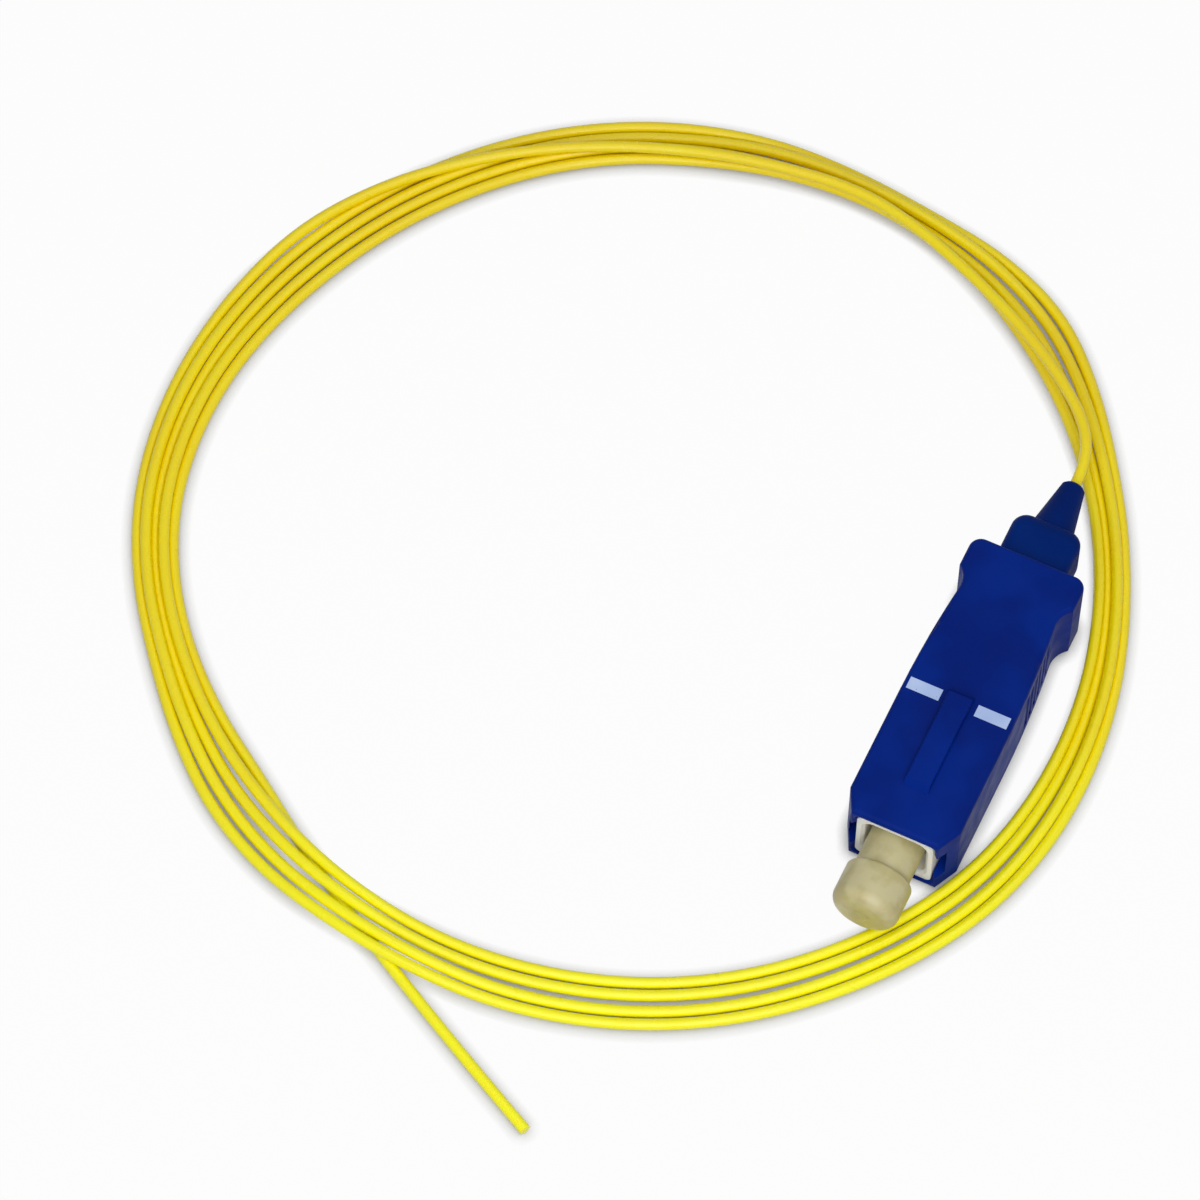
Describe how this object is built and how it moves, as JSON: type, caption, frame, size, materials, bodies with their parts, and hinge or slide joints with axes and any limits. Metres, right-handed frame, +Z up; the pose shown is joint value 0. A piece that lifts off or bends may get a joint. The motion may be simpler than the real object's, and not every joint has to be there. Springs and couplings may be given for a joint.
{
  "type": "fibre optic pigtail",
  "caption": "Rectangular push-pull fibre plug with a sliding grip, floating ferrule and pull-off dust cap, on a loose coil of thin buffered fibre with a bare end for splicing.",
  "frame": {"origin": "under the middle of the plug, from cap nose to boot tip, on the surface that it lies on", "axes": "+Y along the plug from the dust cap to the boot, +Z up through the keyed face, +X to the right; the coil lies towards -X"},
  "size_m": [0.0782, 0.0854, 0.0081],
  "materials": {
    "grip_blue": "satin moulded",
    "mark_white": "printed paint",
    "frame_white": "satin moulded",
    "ferrule_ceramic": "ground and polished",
    "flange_metal": "turned",
    "spring_steel": "drawn wire",
    "tube_natural": "extruded",
    "ring_white": "satin moulded",
    "boot_blue": "satin moulded",
    "cap_natural": "translucent moulded",
    "fibre_yellow": "extruded, smooth"
  },
  "bodies": {
    "plug": {"plug_frame": "frame_white", "stop_ring": "ring_white", "spring": "spring_steel", "boot": "boot_blue", "inner_fibre": "fibre_yellow", "fibre_lead": "fibre_yellow", "fibre_coil": "fibre_yellow", "fibre_tail": "fibre_yellow"},
    "grip": {"grip_housing": "grip_blue", "seating_marks": "mark_white"},
    "ferrule": {"ferrule": "ferrule_ceramic", "ferrule_flange": "flange_metal", "guide_tube": "tube_natural"},
    "cap": {"dust_cap": "cap_natural"}
  },
  "joints": [
    {"name": "grip_slide", "type": "slide", "parent": "plug", "child": "grip", "axis": [0, 1, 0], "range_m": [0, 0.0016]},
    {"name": "ferrule_float", "type": "slide", "parent": "plug", "child": "ferrule", "axis": [0, 1, 0], "range_m": [0, 0.0012], "stiffness_N_per_m": 1000, "deforming": ["spring"]},
    {"name": "cap_pull", "type": "slide", "parent": "ferrule", "child": "cap", "axis": [0, -1, 0], "range_m": [0, 0.009]}
  ]
}
